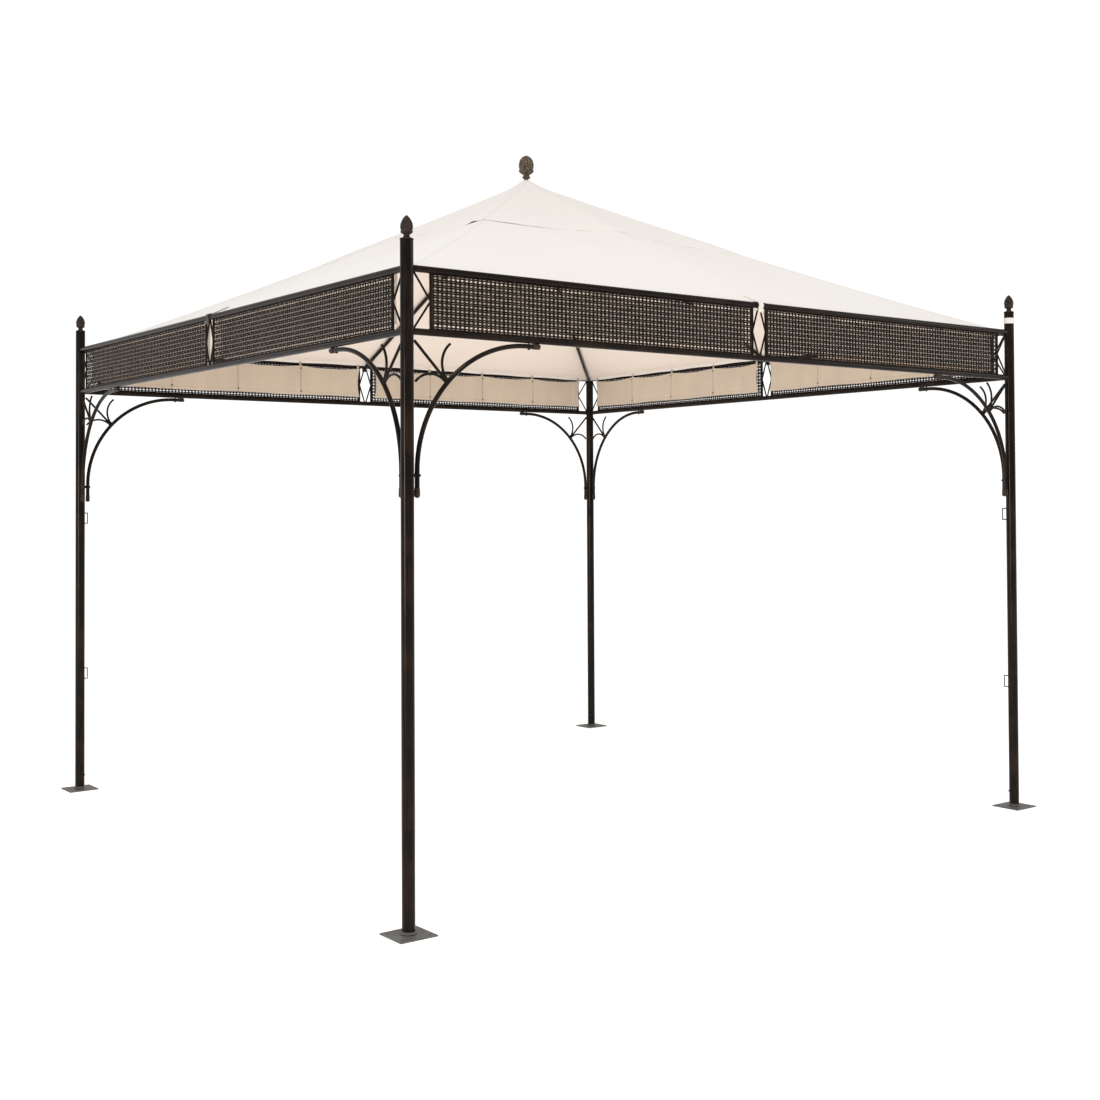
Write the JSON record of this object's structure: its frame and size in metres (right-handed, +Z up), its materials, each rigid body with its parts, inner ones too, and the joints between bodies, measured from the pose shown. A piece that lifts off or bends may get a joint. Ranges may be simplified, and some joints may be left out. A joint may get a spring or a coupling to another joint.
{
  "type": "garden pavilion",
  "caption": "Square free-standing garden pavilion with round posts, woven friezes, scrolled corner brackets, a fabric canopy with a vent cap and inner valances.",
  "frame": {"origin": "centre of the footprint, on the ground under the base plates", "axes": "+Z up, +X along the front towards the front right post, +Y from the front to the back"},
  "size_m": [3.6, 3.6, 3.324],
  "materials": {
    "powder_coat": "satin dark bronze powder coat with brown brushed highlights",
    "cast_bronze": "satin dark bronze coat on a casting, rubbed on its raised edges",
    "rattan": "woven synthetic rattan strand",
    "canopy_fabric": "ecru woven polyester",
    "valance_fabric": "beige woven polyester",
    "zinc": "zinc plated steel",
    "fastener": "blackened domed screws"
  },
  "bodies": {
    "root": {"foot_front_left": "powder_coat", "foot_front_right": "powder_coat", "foot_back_right": "powder_coat", "foot_back_left": "powder_coat", "post_front_left": "powder_coat", "post_front_right": "powder_coat", "post_back_right": "powder_coat", "post_back_left": "powder_coat", "finial_front_left": "cast_bronze", "finial_front_right": "cast_bronze", "finial_back_right": "cast_bronze", "finial_back_left": "cast_bronze", "frieze_frame_front_left": "powder_coat", "frieze_frame_front_right": "powder_coat", "frieze_frame_right_left": "powder_coat", "frieze_frame_right_right": "powder_coat", "frieze_frame_back_left": "powder_coat", "frieze_frame_back_right": "powder_coat", "frieze_frame_left_left": "powder_coat", "frieze_frame_left_right": "powder_coat", "woven_panel_front_left": "rattan", "woven_panel_front_right": "rattan", "woven_panel_right_left": "rattan", "woven_panel_right_right": "rattan", "woven_panel_back_left": "rattan", "woven_panel_back_right": "rattan", "woven_panel_left_left": "rattan", "woven_panel_left_right": "rattan", "bracket_front_left": "powder_coat", "bracket_front_right": "powder_coat", "bracket_right_left": "powder_coat", "bracket_right_right": "powder_coat", "bracket_back_left": "powder_coat", "bracket_back_right": "powder_coat", "bracket_left_left": "powder_coat", "bracket_left_right": "powder_coat", "hip_rafter_front_left": "powder_coat", "hip_rafter_front_right": "powder_coat", "hip_rafter_back_right": "powder_coat", "hip_rafter_back_left": "powder_coat", "side_rafter_front": "powder_coat", "side_rafter_right": "powder_coat", "side_rafter_back": "powder_coat", "side_rafter_left": "powder_coat", "roof_canopy_front": "canopy_fabric", "roof_canopy_right": "canopy_fabric", "roof_canopy_back": "canopy_fabric", "roof_canopy_left": "canopy_fabric", "vent_cap_front": "canopy_fabric", "vent_cap_right": "canopy_fabric", "vent_cap_back": "canopy_fabric", "vent_cap_left": "canopy_fabric", "valance_front": "valance_fabric", "valance_right": "valance_fabric", "valance_back": "valance_fabric", "valance_left": "valance_fabric", "roof_hub": "powder_coat", "crown_finial": "cast_bronze", "rail_saddles": "powder_coat", "rail_sleeves": "zinc", "bracket_bolts": "fastener", "foot_screws": "fastener", "rafter_screws": "fastener", "curtain_loops": "powder_coat", "canopy_ties": "canopy_fabric"}
  },
  "joints": []
}
